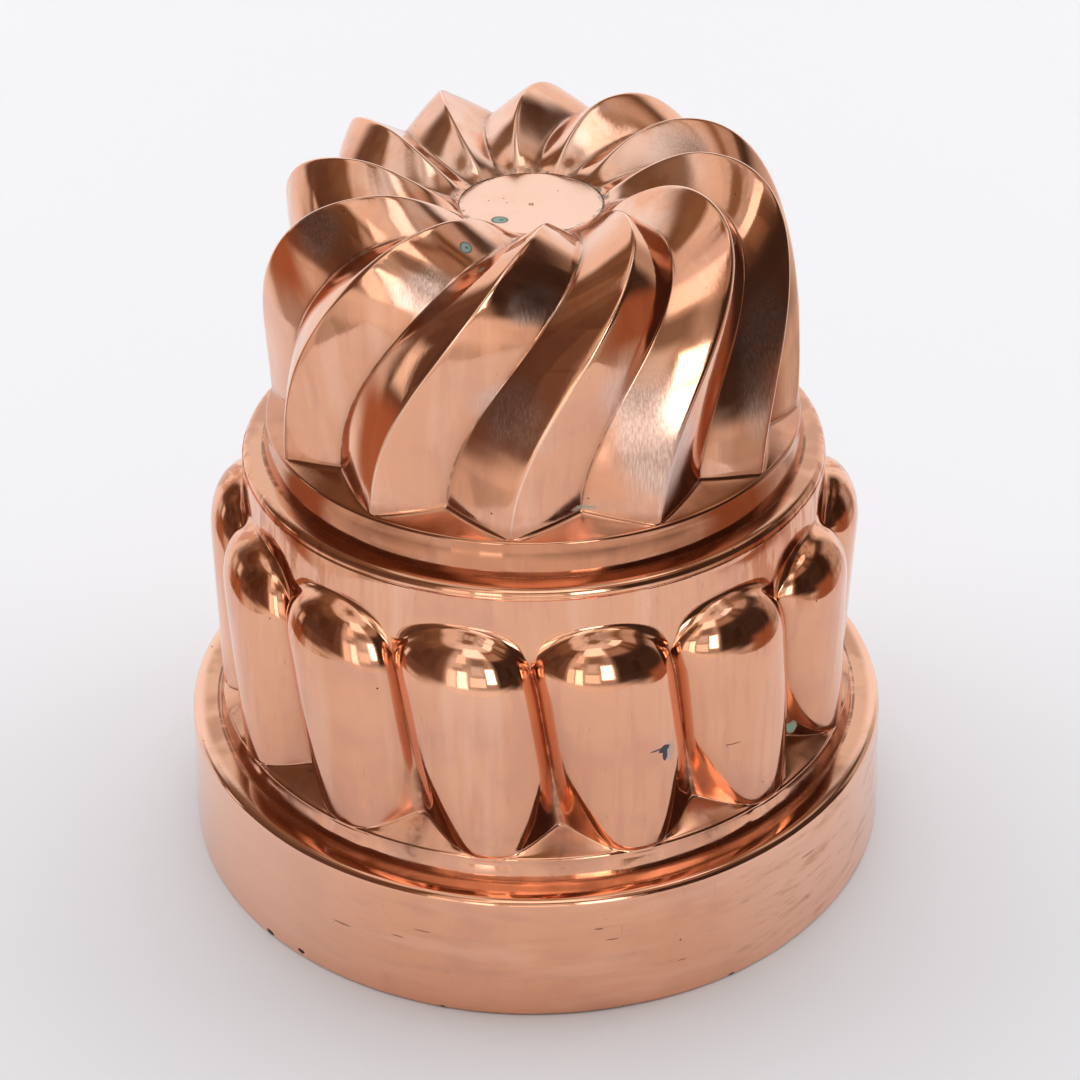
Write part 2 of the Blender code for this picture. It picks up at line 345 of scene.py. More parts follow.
SKIRT_COLUMNS = 180
SKIRT_FOOT = 0.12 * MM   # keeps the uneven cut edge above the floor
SEAM_FOOT = 0.3 * MM
SEAM_COLUMNS = 4         # columns across the seam's width
FILE_MARKS = (3 * MM, 0.08 * MM)


def skirt_profile(inner, low):
    """Radii and heights from the cut edge up, round the fold and in over the ledge."""
    skirt, sheet = sizes("skirt", "sheet")
    profile = [(skirt.rim_radius, height) for height in (low, low + 0.5 * MM, skirt.plumb)]
    for share in (0.2, 0.4, 0.6, 0.8):
        profile.append((mix(skirt.rim_radius, skirt.top_radius, share),
                        mix(skirt.plumb, skirt.height - sheet.bend, share)))
    return profile + folded_ledge(skirt.top_radius, skirt.height, sheet.bend, inner)


class MOULD_OT_skirt(bpy.types.Operator):
    """Raises the plain skirt with its folded ledge"""

    bl_idname = "mould.skirt"
    bl_label = "Skirt"

    def execute(self, context):
        flutes, sheet = sizes("flutes", "sheet")
        profile = skirt_profile(flutes.radius - sheet.gauge / 2, SKIRT_FOOT)
        piece = start_ring("skirt_band_sheet", SKIRT_COLUMNS, *profile[0])
        plain_rings(profile)
        close_sheet(piece, sheet, skirt_copper())
        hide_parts("skirt_band")
        return {"FINISHED"}


class MOULD_OT_seam(bpy.types.Operator):
    """Lays the brazed seam down the back of the skirt"""

    bl_idname = "mould.seam"
    bl_label = "Brazed seam"

    def execute(self, context):
        skirt, flutes, sheet = sizes("skirt", "flutes", "sheet")
        profile = skirt_profile(flutes.radius - sheet.gauge / 3, SEAM_FOOT)
        columns = round(TAU * skirt.rim_radius / (skirt.seam / SEAM_COLUMNS))
        piece = start_ring("skirt_seam_braze", columns, *profile[0])
        mesh = bmesh.from_edit_mesh(piece.data)
        for point in mesh.verts:
            point.select_set(not (point.co.y > 0 and abs(point.co.x) < skirt.seam * 0.6))
        mesh.select_flush(True)
        bpy.ops.mesh.delete(type="VERT")
        bpy.ops.mesh.select_all(action="SELECT")
        plain_rings(profile)
        thickness = sheet.gauge + 2 * skirt.seam_proud
        close_piece(piece, [brazing_brass()], mallet_marks(sheet) + [FILE_MARKS], thickness,
                    2 * skirt.seam_proud / thickness - 1)
        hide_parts("skirt_seam")
        return {"FINISHED"}


# Fluted tier

FLUTE_HALF = 8         # columns from a flute's crest to the groove beside it
SQUARE_FRONT = 2.1     # squareness of a flute's front: 2 is an ellipse
OPEN_GROOVE = 1.6      # openness of the grooves: 2 closes them to a slit
NOTCH = 0.3            # share of a domed end where neighbouring ends part
FOOT_SHARE = 0.33      # share of the pitch where a foot stands flush with the riser
FOOT_ACROSS = (0, 0.12, 0.22, 0.30, 0.38, 0.48, 0.63, 0.81, 1)
FOOT_ROUND = 0.35      # softness of the foot's corner
POCKET_STEPS = (0.5, 0.88, 1)   # shares in over the pockets' floors
WALL_RINGS = (0.015, 0.06, 0.13, 0.22, 0.33, 0.45, 0.58, 0.72, 0.86, 1)
END_STEPS = 10         # rings over a flute's domed end
ARCH_GAP = 1.6 * MM    # from the arches to the plain neck
NECK_STEPS = (0, 0.3, 0.6, 0.8)
NECK_CURVE = 4         # how late the grooves and the neck lean in


def flute_section():
    """Share across to the groove and share out to the crest for each column of a half."""
    section = []
    for step in range(FLUTE_HALF + 1):
        turn = TAU / 4 * step / FLUTE_HALF
        across = math.sin(turn) ** (2 / SQUARE_FRONT)
        out = max(0, math.cos(turn)) ** (2 / OPEN_GROOVE)
        section.append((across, out))
    return section


def foot_section():
    """The same shares at a flute's foot: a narrow front, a soft corner and a straight side."""
    section = []
    for across in FOOT_ACROSS:
        side = (1 - across) / (1 - FOOT_SHARE)
        near = max(0, 1 - abs(1 - side) / FOOT_ROUND)
        section.append((across, min(1, side) - near * near * FOOT_ROUND / 4))
    return section


def climbed(flutes, height):
    """How far up from the feet's ledge to the neck's ledge a height is."""
    return (height - flutes.ledge) / (flutes.neck - flutes.ledge)


def groove_radius(flutes, height):
    """Radius of the grooves and then the neck, which lean in more and more as they rise."""
    return mix(flutes.groove, flutes.neck_radius, climbed(flutes, height) ** NECK_CURVE)


def flute_ring(piece, flutes, heights, outs, valley=1):
    """One ring of the fluted wall from each column's height and its share out."""
    half_pitch = TAU / flutes.count / 2
    points = []
    for (across, _), (foot_across, foot_out), height, out in zip(
            flute_section(), foot_section(), heights, outs):
        foot = max(0, 1 - (height - flutes.ledge) / flutes.foot)
        points.append((mix(groove_radius(flutes, height), flutes.crest,
                           mix(out, foot_out, foot)), height,
                       mix(across, foot_across, foot) * half_pitch))
    leant = flutes.lean * climbed(flutes, sum(heights) / len(heights))
    shaped_ring(piece, 2 * FLUTE_HALF, points, flutes.start - leant, valley=valley)


def foot_rings(piece, flutes, bend):
    """The riser's top fold and the pockets' floors. The fold dies out at every flute's
    foot, which stands flush with the riser."""
    half_pitch = TAU / flutes.count / 2
    top_radius = flutes.radius - flutes.draft
    ledge_end = top_radius - bend
    folded = fold(top_radius, flutes.ledge, bend)
    rings = [(radius, height, 0) for radius, height in folded]
    rings += [(*folded[-1], inward) for inward in POCKET_STEPS]
    for number, (radius, height, inward) in enumerate(rings):
        upright = mix(folded[0][1], flutes.ledge, number / (len(rings) - 1))
        points = []
        for across, out in foot_section():
            foot = (mix(flutes.groove, flutes.crest, out),
                    flutes.ledge + flutes.rise * (1 - out))
            flush = max(0, foot[0] - ledge_end) / (top_radius - ledge_end)
            edge = (mix(radius, foot[0], flush), mix(height, upright, flush))
            points.append((mix(edge[0], foot[0], inward), mix(edge[1], foot[1], inward),
                           across * half_pitch))
        # The pockets' inner ring is noted as a crease, where the copper paints shade
        shaped_ring(piece, 2 * FLUTE_HALF, points, flutes.start, crease=0.5 * (inward == 1))


def flute_rings(piece, flutes):
    """The flutes from their feet up over their domed ends and into the neck."""
    outs = [out for across, out in flute_section()]
    rise_end = flutes.top - flutes.dome
    feet = [flutes.ledge + flutes.rise * (1 - out) for across, out in foot_section()]
    for share in WALL_RINGS:
        flute_ring(piece, flutes, [mix(height, rise_end, share) for height in feet], outs)
    for step in range(1, END_STEPS):
        turn = TAU / 4 * step / END_STEPS
        rise = math.sin(turn) ** (2 / SQUARE_FRONT)
        left = max(0, math.cos(turn)) ** (2 / SQUARE_FRONT)
        heights = [rise_end + flutes.dome * rise * mix(NOTCH, 1, out) for out in outs]
        flute_ring(piece, flutes, heights, [out * left for out in outs])
    neck_start = flutes.top + ARCH_GAP
    arches = [mix(height, neck_start, 0.3) for height in heights]
    for share in (0, 0.5, 1):
        heights = [mix(height, neck_start, share) for height in arches]
        flute_ring(piece, flutes, heights, [0] * len(outs), valley=0)


class MOULD_OT_flutes(bpy.types.Operator):
    """Raises the tier of flutes, from its lip in the skirt to the neck's ledge"""

    bl_idname = "mould.flutes"
    bl_label = "Fluted wall"

    def execute(self, context):
        flutes, swirl, sheet, skirt = sizes("flutes", "swirl", "sheet", "skirt")
        riser = lip(flutes.radius, skirt.height, sheet)
        piece = start_ring("fluted_wall_sheet", 2 * FLUTE_HALF * flutes.count, *riser[0],
                           start=flutes.start)
        plain_rings(riser)
        foot_rings(piece, flutes, sheet.crisp)
        flute_rings(piece, flutes)
        neck = []
        for climb in NECK_STEPS:
            height = mix(flutes.top + ARCH_GAP, flutes.neck, climb)
            neck.append((groove_radius(flutes, height), height))
        neck += folded_ledge(flutes.neck_radius, flutes.neck, sheet.bend,
                             swirl.radius - sheet.gauge / 2)
        plain_rings(neck)
        close_sheet(piece, sheet, flute_copper())
        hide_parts("fluted_wall")
        return {"FINISHED"}


# Swirled dome

RIDGE_HALF = 7         # columns from a ridge's crest to the valley beside it
CREST_EDGES = (0.35 * MM, 1 * MM)
VALLEY_EDGES = (1.1 * MM, 0.4 * MM)
WALL_ROWS = 24         # rows up the wall and over its shoulder
CROWN_ROWS = 10        # rows from there in to the crown
WALL_PULL = 0.73       # how straight the wall rises before its shoulder
SHOULDER_PULL = 0.85   # how square the shoulder is
TOP_PULL = 0.34        # how far in the ridge stays level past its top
EDGE_REACH = 0.28      # how far out the crown's edge shapes the run down to it
EDGE_LIFT = 0.46       # and how far up
TWIST_EASE = 1.8       # how much the turning slows towards the crown
VALLEY_SET_IN = 1.5 * MM   # how much nearer to the axis the valleys' top lies
TOE_LEDGE = 1.2 * MM   # run of the ledge that turns up to a toe


def bezier(corners, share):
    rest = 1 - share
    weights = (rest ** 3, 3 * rest * rest * share, 3 * rest * share * share, share ** 3)
    return tuple(sum(w * c[axis] for w, c in zip(weights, corners)) for axis in (0, 1))


def run_points(foot, top, edge):
    """Radius and height up a wall, over its shoulder and in to the crown."""
    (foot_r, foot_z), (top_r, top_z), (edge_r, edge_z) = foot, top, edge
    wall = (foot, (foot_r, mix(foot_z, top_z, WALL_PULL)),
            (mix(top_r, foot_r, SHOULDER_PULL), top_z), top)
    inward = (top, (mix(top_r, edge_r, TOP_PULL), top_z),
              (mix(edge_r, top_r, EDGE_REACH), mix(edge_z, top_z, EDGE_LIFT)), edge)
    return ([bezier(wall, step / WALL_ROWS) for step in range(WALL_ROWS + 1)]
            + [bezier(inward, step / CROWN_ROWS) for step in range(1, CROWN_ROWS + 1)])


def run_shares(points):
    """How far along the run each point is, from 0 at the foot to 1 at the crown."""
    lengths = [0]
    for here, there in zip(points, points[1:]):
        lengths.append(lengths[-1] + math.dist(here, there))
    return [value / lengths[-1] for value in lengths]


def between(here, there, share):
    """The row a share of the way from one row of the run to the next."""
    crest, valley = (tuple(mix(a, b, share) for a, b in zip(*pair))
                     for pair in zip(here[:2], there[:2]))
    return crest, valley, mix(here[2], there[2], share)


def ridge_points(crest, valley, count):
    """A ridge's half section: a rounded crest, a straight face and the valley line."""
    half_pitch = TAU / count / 2
    reach = half_pitch * (crest[0] + valley[0]) / 2
    near = [edge / reach for edge in CREST_EDGES]
    far = [1 - edge / reach for edge in VALLEY_EDGES]
    thirds = [mix(near[1], far[0], 1 / 3), mix(near[1], far[0], 2 / 3)]
    shares = [0] + near + thirds + far + [1]
    # The crest is rubbed down a little and the valley rounded out
    dips = [near[0] * 0.8] + shares[1:-1] + [1 - (1 - far[1]) * 0.5]
    return [(mix(crest[0], valley[0], dip), mix(crest[1], valley[1], dip), share * half_pitch)
            for share, dip in zip(shares, dips)]


class MOULD_OT_swirl(bpy.types.Operator):
    """Raises the dome of twisted ridges, from its lip in the neck to the crown's opening"""

    bl_idname = "mould.swirl"
    bl_label = "Swirled dome"

    def execute(self, context):
        swirl, crown, flutes, sheet = sizes("swirl", "crown", "flutes", "sheet")
        top_radius = swirl.radius - swirl.draft
        riser = lip(swirl.radius, flutes.neck, sheet)
        riser.append((mix(swirl.radius, top_radius, 0.5), mix(flutes.neck, swirl.ledge, 0.5)))
        riser += fold(top_radius, swirl.ledge, sheet.crisp)
        piece = start_ring("swirl_dome_sheet", 2 * RIDGE_HALF * swirl.count, *riser[0],
                           start=swirl.start)
        plain_rings(riser)
        edge = (crown.radius, crown.height)
        crest = run_points((swirl.toe, swirl.ledge), (swirl.top_radius, swirl.top), edge)
        valley = run_points((swirl.valley, swirl.ledge + swirl.rise),
                            (swirl.top_radius - VALLEY_SET_IN, swirl.top - swirl.top_depth), edge)
        ledge_end = top_radius - sheet.crisp
        for back in (0.5, 0):
            points = []
            for radius, height, out in ridge_points(crest[0], valley[0], swirl.count):
                share = back * min(1, TOE_LEDGE / max(ledge_end - radius, TOE_LEDGE))
                points.append((mix(radius, ledge_end, share),
                               mix(height, swirl.ledge, share), out))
            shaped_ring(piece, 2 * RIDGE_HALF, points, swirl.start)
        # Rows close to the toes and to the crown's edge keep both crisp
        rows = list(zip(crest, valley, run_shares(crest)))
        run = [between(*rows[:2], 0.25)] + rows[1:-1]
        run += [between(*rows[-2:], near) for near in (0.85, 0.985)] + rows[-1:]
        for high, deep, share in run:
            turned = share * share * (1 + TWIST_EASE - TWIST_EASE * share)
            shaped_ring(piece, 2 * RIDGE_HALF, ridge_points(high, deep, swirl.count),
                        swirl.start + swirl.twist * turned, crest=1)
        close_sheet(piece, sheet, dome_copper())
        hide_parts("swirl_dome")
        return {"FINISHED"}


# Crown plate

CROWN_COLUMNS = 96


class MOULD_OT_crown(bpy.types.Operator):
    """Lets the flat plate into the dome's round opening"""

    bl_idname = "mould.crown"
    bl_label = "Crown plate"

    def execute(self, context):
        crown, sheet = sizes("crown", "sheet")
        top = crown.height
        floor = top - crown.dish
        edge = crown.radius - sheet.gap
        punch = crown.punch
        rings = [(edge, top - 0.7 * MM), (edge, top - 0.06 * MM), (edge - 0.06 * MM, top),
                 (edge - 1.2 * MM, top)]
        rings += [(edge * share, top - crown.dish * (1 - share))
                  for share in (0.75, 0.5, 0.28, 0.12)]
        rings += [(punch * 1.5, floor), (punch, floor), (punch * 0.5, floor - 0.30 * MM),
                  (punch * 0.2, floor - 0.4 * MM)]
        piece = start_ring("crown_plate_disc", CROWN_COLUMNS, *rings[0])
        plain_rings(rings)
        bpy.ops.mesh.merge(type="CENTER")
        close_sheet(piece, sheet, crown_copper())
        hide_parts("crown_plate")
        return {"FINISHED"}


# Solder

SOLDER_COLUMNS = 240
LEDGE_LUMPS = 0.5 * MM
CROWN_LUMPS = 0.1 * MM


def solder_ring(name, profile, lumps, node):
    """A ring of solder through a closed profile, run lumpy as it cooled."""
    piece = start_ring(name, SOLDER_COLUMNS, *profile[0])
    plain_rings(profile + profile[:1])
    bpy.ops.mesh.select_all(action="SELECT")
    bpy.ops.mesh.remove_doubles(threshold=0.01 * MM)
    close_piece(piece, [kept("soft_solder_run", soft_solder)],
                [(6 * MM, lumps), (2.2 * MM, lumps * 0.4)])
    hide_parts(node)


def fillet(radius, ledge, sheet):
    """A hollow fillet outside a lip and under a ledge."""
    inner = radius - 0.1 * MM
    top = ledge - sheet.gauge + 0.1 * MM
    leg = 2.5 * MM
    return [(inner, top), (inner, top - leg), (inner + 0.3 * MM, top - leg + 0.1 * MM),
            (inner + leg * 0.35, top - leg * 0.42), (inner + leg * 0.55, top - leg * 0.28),
            (inner + leg, top - 0.25 * MM), (inner + leg, top)]


class MOULD_OT_solder(bpy.types.Operator):
    """Runs the solder of the two ledge joints and of the crown plate"""

    bl_idname = "mould.solder"
    bl_label = "Solder"

    def execute(self, context):
        sheet, skirt, flutes, swirl, crown = sizes("sheet", "skirt", "flutes", "swirl", "crown")
        solder_ring("skirt_solder_run", fillet(flutes.radius, skirt.height, sheet),
                    LEDGE_LUMPS, "skirt_solder")
        solder_ring("neck_solder_run", fillet(swirl.radius, flutes.neck, sheet),
                    LEDGE_LUMPS, "neck_solder")
        edge = crown.radius
        under = crown.height - sheet.gauge
        joint = crown.height - 0.02 * MM
        bead = [(edge - 2.4 * MM, under - 0.1 * MM), (edge - 1.2 * MM, under - 0.75 * MM),
                (edge, under - 1 * MM), (edge + 1.4 * MM, under - 0.6 * MM),
                (edge + 2.6 * MM, under + 0.5 * MM), (edge + 0.3 * MM, under + 0.3 * MM),
                (edge + 0.1 * MM, joint), (edge - 0.2 * MM, joint),
                (edge - 0.4 * MM, under + 0.3 * MM)]
        solder_ring("crown_solder_run", bead, CROWN_LUMPS, "crown_solder")
        return {"FINISHED"}


# Finishes

class Layers:
    """A colour built up in a node tree, layer over layer."""

    def __init__(self, owner, tone):
        self.owner = owner
        owner.use_nodes = True
        self.tree = owner.node_tree
        self.tone = tuple(tone)

    def fill(self, node, inputs):
        """Sets a node's inputs. An input is a value, or the output that is linked to it."""
        for key, value in inputs.items():
            if isinstance(value, bpy.types.NodeSocket):
                self.tree.links.new(value, node.inputs[key])
            else:
                node.inputs[key].default_value = value

    def add(self, kind, inputs=None, out=0, **settings):
        """Adds a node with its settings and inputs, and gives one of its outputs."""
        made = self.tree.nodes.new("ShaderNode" + kind)
        for key, value in settings.items():
            setattr(made, key, value)
        self.fill(made, inputs or {})
        return made.outputs[out]

    def share(self, measures, top=1):
        """Rises from 0 to top as every measure passes smoothly from its start to its end."""
        for value, start, end in measures:
            top = self.add("MapRange", {"Value": value, 1: start, 2: end, 3: 0, 4: top},
                           interpolation_type="SMOOTHSTEP")
        return top

    def lay(self, measures, tone=None, rough=None, bare=None, top=1):
        """Lays a colour, a roughness or a bareness over the last, where the measures rise."""
        share = self.share(measures, top)
        if tone is not None:
            tone = linear(tone) if isinstance(tone, str) else tone
            self.tone = self.add("Mix", {0: share, 6: self.tone, 7: tone}, 2, data_type="RGBA")
        if rough is not None:
            self.rough = self.add("Mix", {0: share, 2: self.rough, 3: rough})
        if bare is not None:
            self.bare = self.add("Mix", {0: share, 2: self.bare, 3: bare})

    def measured(self, place, middle, half):
        """A place counted from a middle, as shares of the half size."""
        off = self.add("VectorMath", {0: place, 1: middle}, operation="SUBTRACT")
        return self.add("VectorMath", {0: off, 1: half}, operation="DIVIDE")


class Finish(Layers):
    """A bare metal, with the colour, roughness and bareness that its marks change. Places
    and sizes are in millimetres."""

    def __init__(self, name, metal, rough):
        self.tones, = sizes("finish")
        super().__init__(bpy.data.materials.new(name), getattr(self.tones, metal))
        self.rough, self.bare = rough, 1
        self.place = self.add("TexCoord", out="Object")

    def clouds(self, size, stretch=(1, 1, 1), detail=3):
        """A measure that drifts about a half in soft patches of the given size."""
        spread = self.add("Mapping", {"Vector": self.place, "Scale": stretch})
        return self.add("TexNoise", {"Vector": spread, "Scale": 1 / (size * MM),
                                     "Detail": detail, "Roughness": 0.6})

    def away(self, middle, half, ragged=0.5):
        """Distance from a place, as a share of the half size, with a ragged edge."""
        size = max(half) * MM
        push = ragged * size
        ripple = self.add("TexNoise", {"Vector": self.place, "Scale": 0.9 / size, "Detail": 3},
                          "Color")
        pushed = self.add("VectorMath", {0: ripple, 1: (push,) * 3, 2: self.place},
                          operation="MULTIPLY_ADD")
        off = self.measured(pushed, [value * MM + push / 2 for value in middle],
                            [value * MM for value in half])
        return self.add("VectorMath", {0: off}, "Value", operation="LENGTH")

    def spot(self, middle, half, tone, rough, bare=None, top=1, soft=0.25, ragged=0.5):
        """One mark at a place."""
        far = self.away(middle, half, ragged)
        self.lay([(far, 1 + soft, 1 - soft)], tone, rough, bare, top)
        return far

    def spots(self, places, tone, rough, **settings):
        """The same mark at several places, each with its half size."""
        for middle, half in places:
            self.spot(middle, half, tone, rough, **settings)

    def verdigris(self, middle, size):
        """A spot of green copper salts: a dark rim, a grey-green crust and a brown fleck."""
        far = self.spot(middle, (size, size, size), "#55635A", 0.6, 0.1, soft=0.12, ragged=0.3)
        self.lay([(far, 0.86, 0.7)], self.tones.verdigris, 0.85, 0)
        fleck = (middle[0] + size * 0.2, middle[1], middle[2])
        self.spot(fleck, (size * 0.35, size * 0.2, size * 0.2), "#66645A", 0.8, 0, ragged=0.8)

    def circle(self, radius, half, height, reach):
        """Measures of a circle about the axis, half wide, at heights within reach."""
        flat = self.add("VectorMath", {0: self.place, 1: (1, 1, 0)}, operation="MULTIPLY")
        out = self.add("VectorMath", {0: flat}, "Value", operation="LENGTH")
        measures = []
        for value, middle, width, full in ((out, radius, half, 0.3),
                                           (self.z, height, reach, 0.5)):
            off = self.add("Math", {0: value, 1: middle * MM}, operation="SUBTRACT")
            near = self.add("Math", {0: off}, operation="ABSOLUTE")
            measures.append((near, width * MM, width * MM * full))
        return measures

    def ledge(self, joint, height):
        """A narrow ledge: browned here and there by old polish, with dulled tin at the joint."""
        ledge = self.circle(joint + 1.6, 2.6, height, 1.5)
        self.lay(ledge, "#E3AC8D", 0.12)
        self.lay(ledge + [(self.clouds(24), 0.47, 0.56)], "#9B654C", 0.16, top=0.4)
        self.lay(self.circle(joint, 0.45, height, 0.9) + [(self.clouds(5), 0.3, 0.6)],
                 "#8D6A58", 0.45, top=0.7)

    def close(self, relief, strength, depth=0.02 * MM):
        """Sets the finished colour, roughness and bareness, and a fine relief."""
        bump = self.add("Bump", {"Height": relief, "Strength": strength, "Distance": depth})
        self.fill(self.tree.nodes["Principled BSDF"],
                  {"Base Color": self.tone, "Roughness": self.rough, "Metallic": self.bare,
                   "Normal": bump})
        return self.owner


def polished_copper(name, run=(1, 1, 0.12)):
    """Rolled copper, raised by mallet and buffed bright: rose, mirror-like, with thin uneven
    tarnish, the buff's haze and hairlines, pin specks, painted shade in the creases and a painted
    highlight along the crests."""
    finish = Finish(name, "copper", 0.05)
    finish.x, finish.y, finish.z = finish.add("SeparateXYZ", {0: finish.place}).node.outputs
    tones = finish.tones
    even = (1, 1, 1)
    for size, stretch, detail, start, end, tone, rough, top in (
            (35, even, 4, 0.45, 0.8, tones.deep_copper, None, 0.3),    # thin warm tarnish
            (18, even, 3, 0.48, 0.72, "#DB9F8B", 0.13, 0.5),           # mauve bloom
            (14, (1, 1, 0.4), 3, 0.45, 0.75, None, 0.16, 1),     # haze of the buff
            (3, run, 3, 0.5, 0.7, "#E2A68B", 0.14, 0.6),               # smears of the cloth
            (8, run, 3, 0.5, 0.7, "#FFCDB2", None, 0.4)):              # and paler ones
        finish.lay([(finish.clouds(size, stretch, detail), start, end)], tone, rough, top=top)
    # Pin specks, at most one in 6 mm
    cells = finish.add("TexVoronoi", {"Vector": finish.place, "Scale": 1 / (6 * MM)}).node.outputs
    chosen = finish.add("SeparateColor", {0: cells["Color"]})
    finish.lay([(cells["Distance"], 0.045, 0.025), (chosen, 0.5, 0.55)], tones.tarnish, 0.5)
    # Fine scratches, 0.35 mm wide and 6 mm long, drawn wider than real ones
    finish.lay([(finish.clouds(0.35, (1, 1, 0.06), 1), 0.765, 0.79)], "#A56B50", 0.3,
               top=0.5)
    # Painted shade: a rosy tone towards the grooves and the pockets' creases and a darker brown
    # deep in the creases, broken up; the crests rubbed to a satin, with a painted highlight
    finish.fold = finish.add("Attribute", out="Fac", attribute_name="fold")
    finish.lay([(finish.fold, 0, 0.5)], "#CB9273", 0.2, top=0.6)
    finish.lay([(finish.fold, 0.5, 1), (finish.clouds(4), 0.35, 0.6)], "#86543E", 0.34,
               top=0.75)
    # Painted highlight: the crests paler, as though they caught the light
    finish.lay([(finish.fold, -0.35, -0.9)], "#FFDCC6", 0.2)
    # Hairlines of the buff, 0.7 mm apart, drawn coarser than the real grit
    lines = finish.add("Mapping", {"Vector": finish.place, "Scale": (1400, 1400, 60)})
    finish.hairlines = finish.add("TexNoise", {"Vector": lines, "Scale": 1, "Detail": 2})
    return finish


# Marks in the copper: each one's middle and half size, in millimetres

SKIRT_NICKS = (
    ((-40.9, -67.9, 15.1), (2.2, 2.2, 0.2)),
    ((-29, -73.6, 16.8), (1.4, 1.4, 0.16)),
    ((-23.7, -75.3, 19.7), (1.8, 1.8, 0.16)),
    ((12.5, -77.9, 22.1), (0.9, 0.9, 0.22)),
    ((15.3, -77.5, 19), (1.4, 1.4, 0.16)),
    ((58, -54, 21), (2.2, 2.2, 0.2)),
    ((30, -73.5, 9.5), (1, 1, 0.15)),
)
EDGE_NICKS = (
    ((-50.9, -61.6, 1.6), (1, 1, 0.5)),
    ((-58.1, -54.9, 1), (1.2, 1.2, 0.6)),
    ((-20, -77.3, 0.4), (0.6, 0.6, 0.3)),
    ((41, -68.4, 0.5), (0.7, 0.7, 0.35)),
)
FLUTE_SCRATCHES = (
    ((40.1, -57.3, 53.7), (1.8, 1.8, 0.16)),
    ((39, -58, 52.6), (0.16, 0.16, 1.6)),
    ((-9, -70, 56), (0.2, 0.2, 1)),
    ((18, -69, 47), (0.15, 0.15, 1.4)),
)
HEAT_STAIN = (
    ((25.5, -64.7, 58.4), (1.5, 1.5, 0.8)),
    ((25.7, -64.7, 57), (0.8, 0.8, 1.5)),
)
SATIN_PATCHES = (
    ((-2, -51, 126.5), (8, 5, 8)),
    ((22.5, -48.5, 120), (8.5, 7, 19)),
    ((46, -28, 126), (7, 9, 17)),
    ((-20, -41, 148), (7, 5, 4.5)),
    ((0.5, -46.5, 148.5), (6, 5, 4)),
    ((-41, -21, 151), (5, 5, 5)),
    ((30, 12, 152), (7, 7, 6)),
)
DOME_CRACKS = (
    ((16, -52.5, 117), (0.5, 0.5, 2.6)),
    ((13.5, -53, 112), (0.4, 0.4, 1.6)),
    ((39, -27, 152), (0.4, 3, 0.4)),
    ((-34, -37, 143), (2.8, 0.3, 0.3)),
)
CROWN_PITS = ((-8.6, 1.4), (-5.6, 2.6), (-4.9, 0.6), (5.5, 6))


def skirt_copper():
    """The skirt's copper: a painted reflection that makes the sides paler, brown streaks from
    handling on the right, ticks and nicks, and a worn line at the joint."""
    finish = polished_copper("polished_copper_skirt", (0.15, 0.15, 1))
    side = finish.add("Math", {0: finish.x}, operation="ABSOLUTE")
    # Painted reflection: the left and right sides paler, as they mirror the brighter floor
    finish.lay([(side, 25 * MM, 60 * MM)], "#FDCDB4", top=0.7)
    right = [(finish.x, 25 * MM, 55 * MM), (finish.y, 5 * MM, -15 * MM)]
    finish.lay(right + [(finish.clouds(14, (1, 1, 5), 6), 0.48, 0.7)], "#C98A63", 0.14,
               top=0.6)
    finish.lay(right + [(finish.clouds(6, (0.8, 0.8, 5), 6), 0.56, 0.7),
                        (finish.clouds(16), 0.47, 0.6)], "#A5653F", 0.2, top=0.75)
    # Short ticks along the skirt, drawn wider than real ones
    finish.lay([(finish.clouds(0.5, (0.16, 0.16, 1.6), 1), 0.76, 0.78)], "#9A6148", 0.3,
               top=0.5)
    finish.spots(SKIRT_NICKS, "#7A4631", 0.35, top=0.7, ragged=0.25)
    finish.spots(EDGE_NICKS, "#2F2422", 0.6, bare=0.3)
    finish.ledge(72.7, 30)
    return finish.close(finish.hairlines, 0.2)


def flute_copper():
    """The fluted wall's copper: grey tin in the folds, a bloom round the feet, redder streaks
    up the neck's sides, a blue-grey heat stain and green in a foot."""
    finish = polished_copper("polished_copper_flutes")
    finish.lay([(finish.fold, 0.6, 1), (finish.clouds(7), 0.46, 0.6)], "#B89180", 0.28, top=0.4)
    finish.lay([(finish.z, 48 * MM, 38 * MM), (finish.clouds(6, detail=6), 0.4, 0.65)],
               "#D9A28C", 0.2, top=0.6)
    side = finish.add("Math", {0: finish.x}, operation="ABSOLUTE")
    finish.lay([(side, 36 * MM, 46 * MM), (finish.z, 72 * MM, 80 * MM),
                (finish.clouds(3.5, (1, 1, 0.22), 5), 0.47, 0.6)], "#C4774F", 0.12,
               top=0.75)
    finish.ledge(58, 95)
    finish.spot((27, -64.2, 57.2), (1.7, 1.7, 2.2), "#CDB8AE", 0.4, 0.6, top=0.7, soft=0.4)
    stain = finish.tones.stain
    finish.spots(HEAT_STAIN, stain, 0.45, bare=0.4, soft=0.1, ragged=0.6)
    finish.spot((23.6, -65.6, 58.9), (1.5, 1.5, 0.22), stain, 0.45, 0.4, soft=0.2, ragged=0.2)
    finish.spot((54.9, -35.3, 40.8), (1.1, 1.1, 1.7), "#A9CDB4", 0.8, 0, soft=0.3, ragged=0.9)
    finish.spots(FLUTE_SCRATCHES, "#8A5240", 0.4, top=0.8, ragged=0.1)
    return finish.close(finish.hairlines, 0.2)


